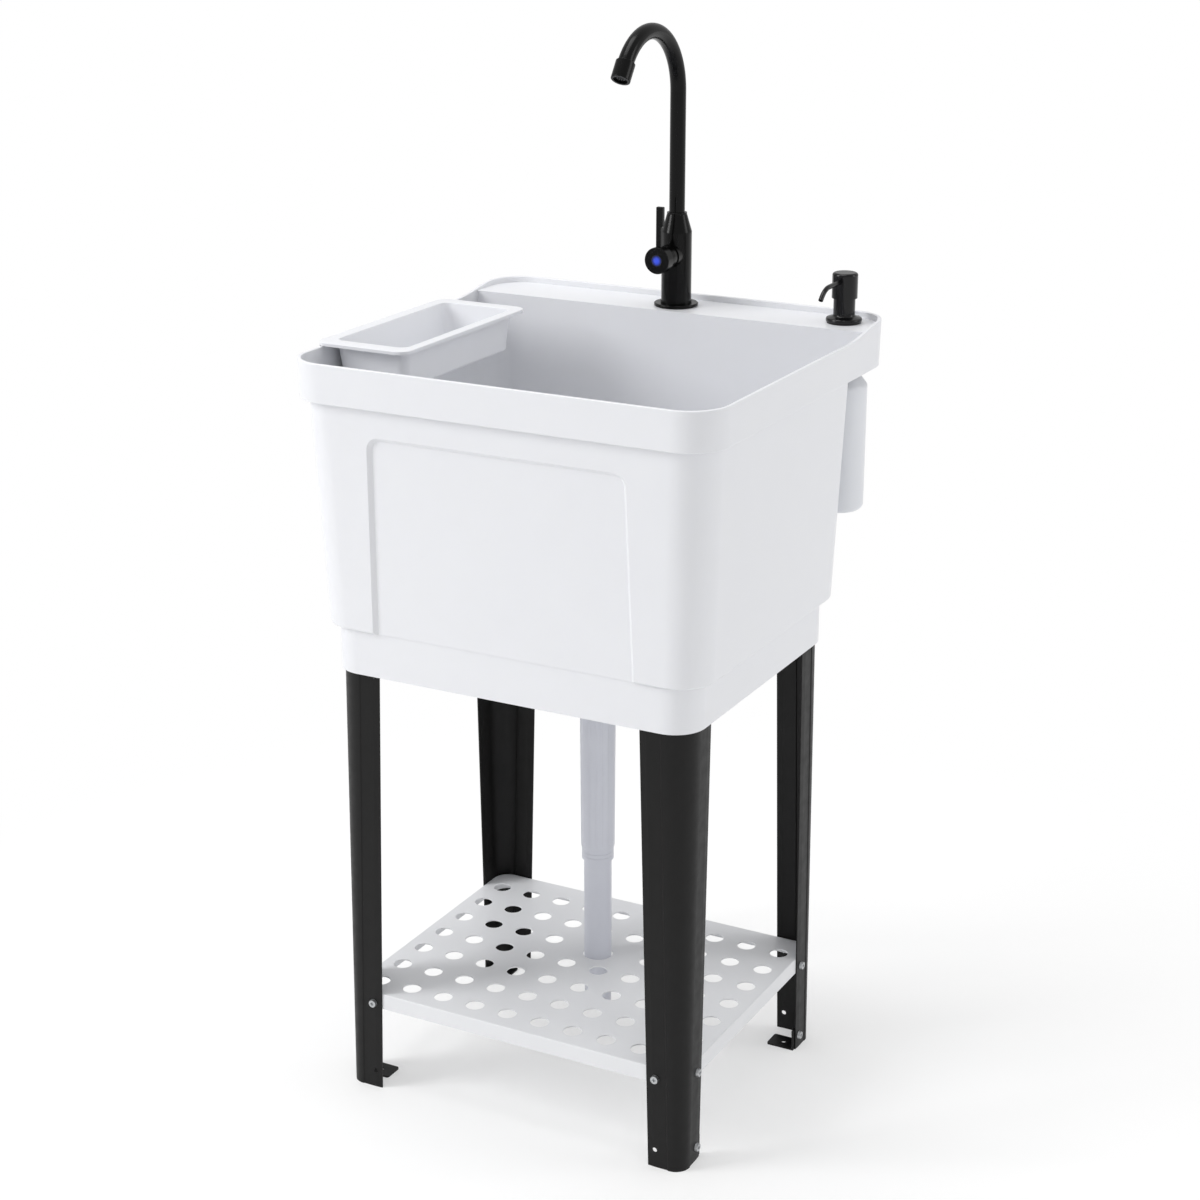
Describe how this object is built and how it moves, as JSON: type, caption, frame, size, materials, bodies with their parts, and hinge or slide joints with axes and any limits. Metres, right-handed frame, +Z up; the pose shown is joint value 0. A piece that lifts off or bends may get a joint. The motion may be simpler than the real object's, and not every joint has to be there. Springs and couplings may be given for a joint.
{
  "type": "freestanding washbasin",
  "caption": "Freestanding utility washbasin: deep white tub on black angle legs with a perforated shelf, swivel swan-neck faucet, soap pump, hanging tray and drain.",
  "frame": {"origin": "on the floor, under the middle of the tub's rim", "axes": "+X towards the right of a person who faces the front, +Y to the back, +Z up"},
  "size_m": [0.5079, 0.4736, 1.191],
  "materials": {
    "tub_plastic": "satin",
    "black_coated_steel": "matte",
    "white_coated_steel": "satin",
    "zinc_steel": "plain",
    "black_faucet_finish": "satin",
    "black_rubber": "matte",
    "brass": "satin",
    "black_plastic": "matte",
    "blue_plastic": "gloss",
    "gloss_black_plastic": "gloss",
    "bottle_plastic": "satin",
    "spring_steel": "plain",
    "pipe_plastic": "satin",
    "stainless_steel": "brushed"
  },
  "bodies": {
    "basin_and_stand": {"cartridge": "brass", "dip_tube": "bottle_plastic", "dispenser_bottle": "bottle_plastic", "dispenser_collar": "gloss_black_plastic", "dispenser_gasket": "black_rubber", "dispenser_nut": "black_plastic", "drain_body": "pipe_plastic", "drain_collar": "pipe_plastic", "drain_gasket": "black_rubber", "drain_locknut": "pipe_plastic", "drain_outlet": "pipe_plastic", "drain_tailpiece": "pipe_plastic", "faucet_body": "black_faucet_finish", "faucet_flange": "black_faucet_finish", "faucet_gasket": "black_rubber", "faucet_nut": "black_plastic", "faucet_shank": "brass", "faucet_washer": "black_rubber", "foot_bolts": "zinc_steel", "foot_bracket_front_left": "black_coated_steel", "foot_bracket_front_right": "black_coated_steel", "foot_bracket_rear_left": "black_coated_steel", "foot_bracket_rear_right": "black_coated_steel", "foot_nuts": "zinc_steel", "leg_front_left": "black_coated_steel", "leg_front_right": "black_coated_steel", "leg_rear_left": "black_coated_steel", "leg_rear_right": "black_coated_steel", "leg_screws": "zinc_steel", "pump_housing": "bottle_plastic", "pump_spring": "spring_steel", "shelf": "white_coated_steel", "shelf_nuts": "zinc_steel", "shelf_screws": "zinc_steel", "slip_nut": "pipe_plastic", "tub": "tub_plastic"},
    "tray": {"hanging_tray": "tub_plastic"},
    "spout_arm": {"spout": "black_faucet_finish", "spout_seals": "black_rubber", "aerator": "black_faucet_finish"},
    "handle": {"handle_hub": "black_faucet_finish", "handle_lever": "black_faucet_finish", "handle_index": "blue_plastic"},
    "pump_rod": {"pump_stem": "bottle_plastic"},
    "pump_cap": {"pump_head": "gloss_black_plastic", "pump_nozzle": "gloss_black_plastic"},
    "strainer": {"drain_basket": "stainless_steel"}
  },
  "joints": [
    {"name": "tray_lift", "type": "slide", "parent": "basin_and_stand", "child": "tray", "axis": [0, 0, 1], "range_m": [0, 0.06]},
    {"name": "spout_swivel", "type": "hinge", "parent": "basin_and_stand", "child": "spout_arm", "pos_m": [0, 0.194, 0.956], "axis": [0, 0, 1], "continuous": true},
    {"name": "handle_turn", "type": "hinge", "parent": "basin_and_stand", "child": "handle", "pos_m": [0, 0.1494, 0.927], "axis": [0, -1, 0], "range_deg": [0, 90]},
    {"name": "pump_press", "type": "slide", "parent": "basin_and_stand", "child": "pump_rod", "axis": [0, 0, -1], "range_m": [0, 0.012], "stiffness_N_per_m": 300, "springref_m": -0.01, "deforming": ["pump_spring"]},
    {"name": "pump_cap_turn", "type": "hinge", "parent": "pump_rod", "child": "pump_cap", "pos_m": [0.2065, 0.199, 0.912], "axis": [0, 0, 1], "continuous": true},
    {"name": "strainer_lift", "type": "slide", "parent": "basin_and_stand", "child": "strainer", "axis": [0, 0, 1], "range_m": [0, 0.05]}
  ]
}
